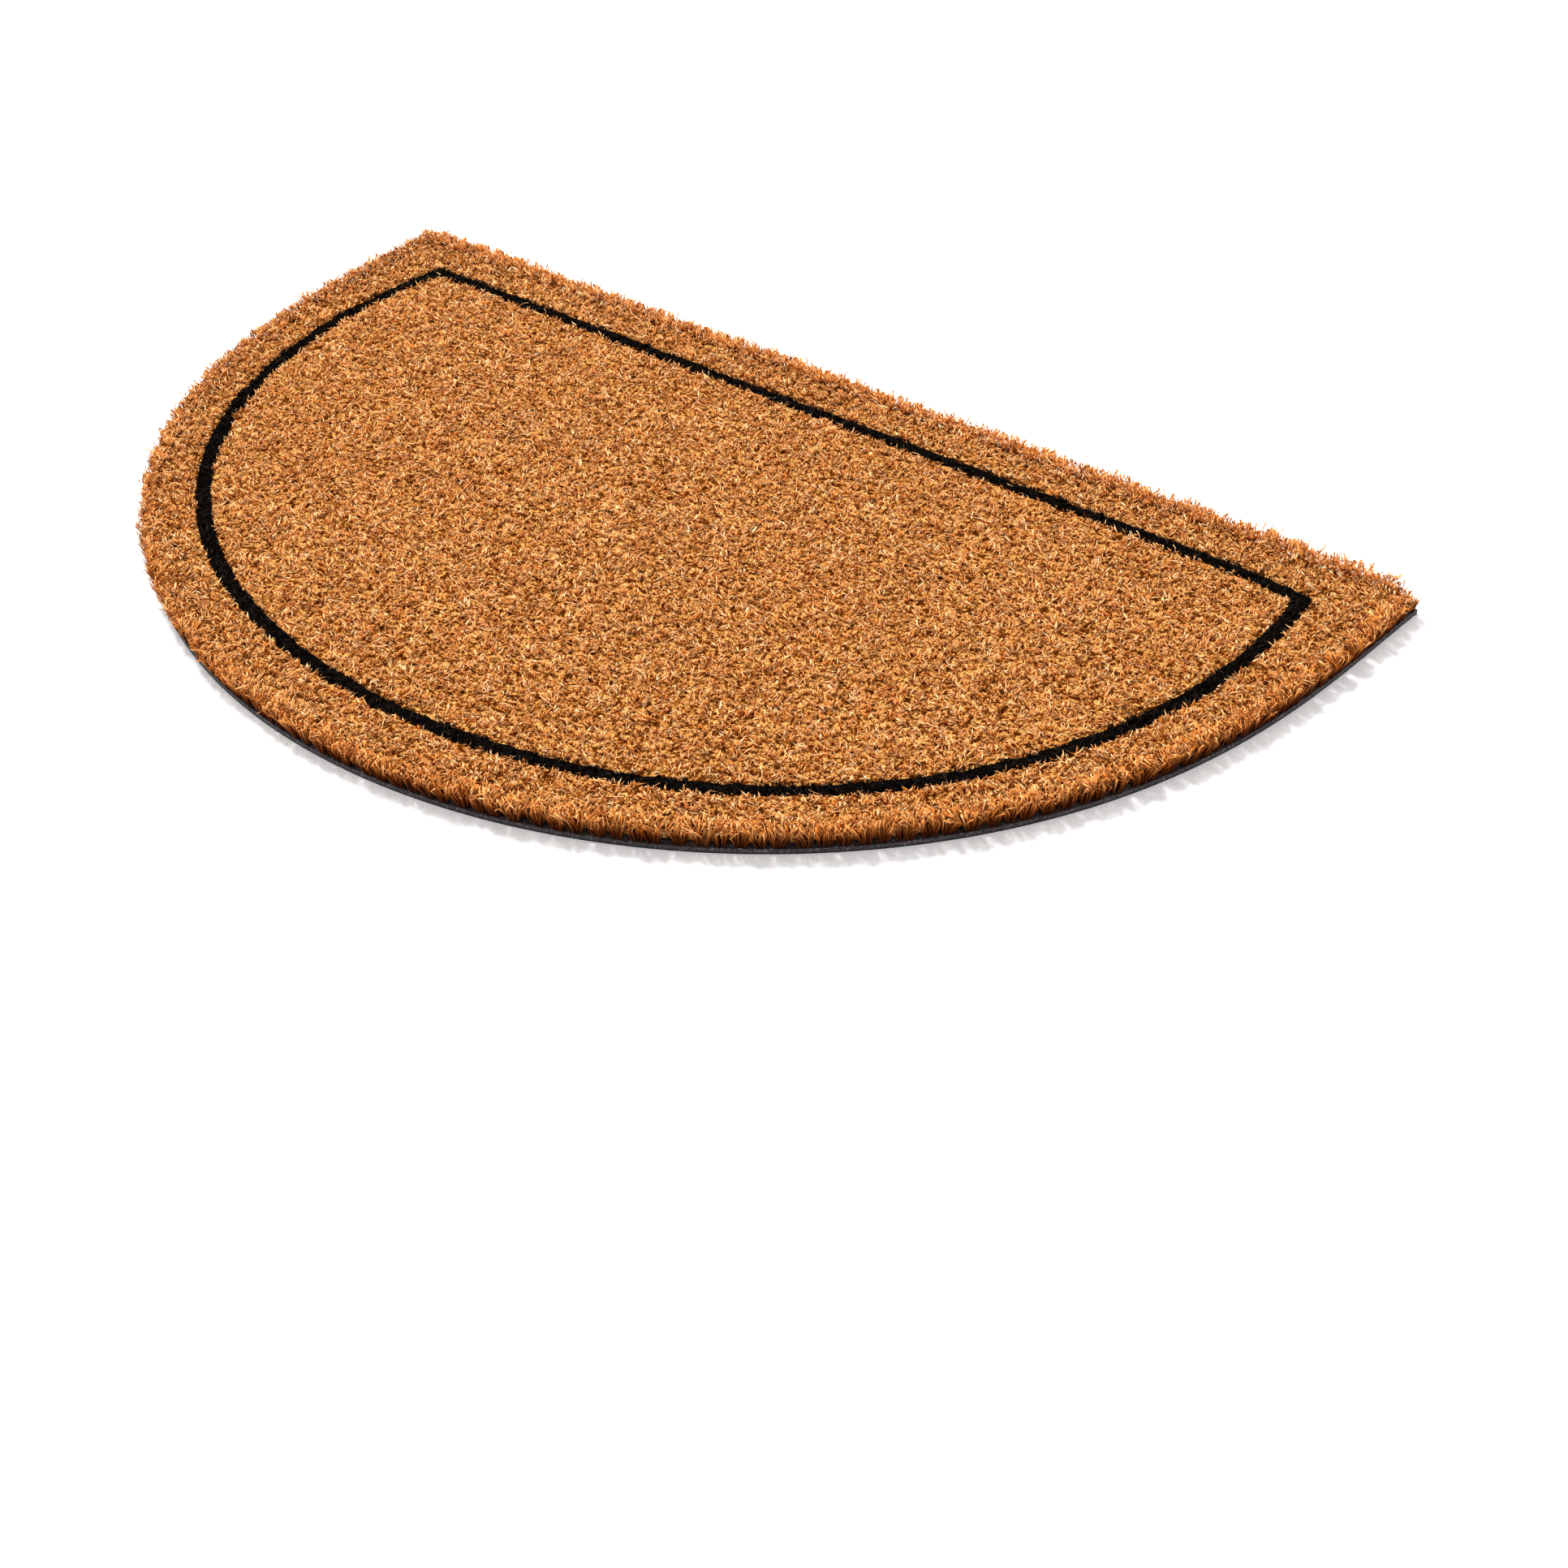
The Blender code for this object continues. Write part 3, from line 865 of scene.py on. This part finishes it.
curly_mesh = fibre_mesh("curly_fibre", RIM_TALL, RIM_HALF_BROAD, (0.0, 0.40, 0.75, 1.0), shade=2.7)
curly_fibre = mesh_piece("curly_fibre_guide", curly_mesh, coir)
back_mesh = fibre_mesh("back_fibre", RIM_TALL, RIM_HALF_BROAD, (0.0, 0.50, 1.0), shade=1.9)
back_fibre = mesh_piece("back_fibre_guide", back_mesh, coir)
lock_spots = lock_middles(eased(mitred(outline, LOCK_LINE), 1), LOCK_STEP, LOCK_JITTER, LOCK_SEED)
rim_tufts = point_guide("rim_tufts", lock_spots, RIM_FOOT)
# Tone below 1 is painted shade: the rim locks are coloured darker than the field fibres.
rim_settings = dict(FIELD_SETTINGS, Tufts=rim_tufts, Gather=0.52, Splay=0.56,
                    Outward=0.40, Comb=0.10, Stray=0.08, Level=0.7, Droop=0.12, Uneven=0.06,
                    Bend=0.0030, Sway=0.0042, Gaps=0.0, Tone=0.76)
rim_settings.update({"Tuft Size": LOCK_STEP, "Sway Size": 0.0052})
RIM_PARTS = (
    ("curved", 0, LOOP_CURVED, curly_fibre, 150, 1130000.0, 0.0168, -0.0105),
    ("straight", LOOP_CURVED, None, back_fibre, 151, 1440000.0, 0.0173, -0.0084),
)
for part, first, last, fibre, seed, thick, clip, tuck in RIM_PARTS:
    rim_region = band_region("rim_region", rim_outer, rim_inner, RIM_FOOT, first, last)
    facing = rim_region.attributes.new("outward", "FLOAT_VECTOR", "POINT")
    facing.data.foreach_set("vector", rim_out.ravel())
    rim_region.attributes.new("low", "FLOAT", "POINT").data.foreach_set("value", corner_low)
    rim_settings.update({"Fibre": fibre, "Seed": seed, "Per Square Metre": thick})
    rim_settings.update({"Clip": clip, "Tuck": tuck})
    stand_fibres("rim_locks_" + part, rim_region, rim_settings)

# Stray fibres: pale coconut fibres that the brush has pulled half loose, whose paleness is partly painted
# highlight.
# They lie curled on the pile, and only their feet are held in it.

STRAY_FOOT = 0.0139
STRAY_TALL = 0.0075
STRAY_HALF_BROAD = 0.00020
STRAY_INSET = 0.009
STRAY_MIDDLE = 0.02

stray_mesh = fibre_mesh("stray_fibre", STRAY_TALL, STRAY_HALF_BROAD, (0.0, 0.35, 0.7, 1.0))
stray_fibre = mesh_piece("stray_fibre_guide", stray_mesh, coir)
stray_settings = dict(FIELD_SETTINGS, Seed=170, Fibre=stray_fibre, Gather=0.0, Splay=0.0, Comb=0.0,
                      Stray=2.2, Level=0.0, Droop=0.0, Uneven=0.5, Bend=0.0050, Sway=0.0015,
                      Palest=0.80, Clip=0.0189, Gaps=0.0)
stray_settings.update({"Per Square Metre": 4600.0, "Sway Size": 0.004})
stray_rim = eased(mitred(outline, -STRAY_INSET))
stray_region = band_region("stray_region", stray_rim, line_inner * STRAY_MIDDLE, STRAY_FOOT)
strays = stand_fibres("stray_fibres", stray_region, stray_settings)

for guide in (short_fibre, curly_fibre, back_fibre, stray_fibre, line_guide, field_tufts, rim_tufts):
    bpy.data.objects.remove(guide)

# Light: a plain soft studio, with a large soft box high on the left and pale light all round.
# A weak one on the right keeps the near rim from going black.

LIGHTS = (
    ("key", (-6.5, 3.0, 10.0), 3.0, 2690.0),
    ("fill", (4.8, -4.8, 5.4), 6.6, 42.0),
)
LIGHT_AIM = Vector((0.0, 0.0, 0.0))
ROOM_LIGHT = 0.62

for name, spot, breadth, power in LIGHTS:
    lamp = bpy.data.lights.new(name, "AREA")
    lamp.shape = "SQUARE"
    lamp.size = breadth
    lamp.energy = power
    holder = bpy.data.objects.new(name, lamp)
    holder.location = spot
    holder.rotation_euler = (LIGHT_AIM - Vector(spot)).to_track_quat("-Z", "Y").to_euler()
    bpy.context.scene.collection.objects.link(holder)

world = bpy.data.worlds.new("pale room")
world.use_nodes = True
world.node_tree.nodes["Background"].inputs["Color"].default_value = (1.0, 1.0, 1.0, 1.0)
world.node_tree.nodes["Background"].inputs["Strength"].default_value = ROOM_LIGHT
bpy.context.scene.world = world
bpy.context.scene.view_settings.view_transform = "Standard"

# Camera: above the right of the nose and looking down at the mat.
# Its place, tilt and lens were worked out from the outline of the mat in the photograph.

CAMERA_TURN = math.radians(40.17)
CAMERA_RISE = math.radians(37.20)
CAMERA_ROLL = math.radians(-1.71)
CAMERA_DISTANCE = 1.277
CAMERA_AIM = Vector((0.200, -0.100, 0.0))
CAMERA_LENS = 59.06

level_share = math.cos(CAMERA_RISE)
back_x = math.sin(CAMERA_TURN) * level_share
back_y = -math.cos(CAMERA_TURN) * level_share
back = Vector((back_x, back_y, math.sin(CAMERA_RISE)))
camera_data = bpy.data.cameras.new("camera")
camera_data.sensor_width = 36.0
camera_data.lens = CAMERA_LENS
camera = bpy.data.objects.new("camera", camera_data)
camera.location = CAMERA_AIM + back * CAMERA_DISTANCE
turn = (-back).to_track_quat("-Z", "Y")
roll = Vector((0.0, 0.0, 1.0))
camera.rotation_euler = (turn @ Quaternion(roll, CAMERA_ROLL)).to_euler()
bpy.context.scene.collection.objects.link(camera)
bpy.context.scene.camera = camera
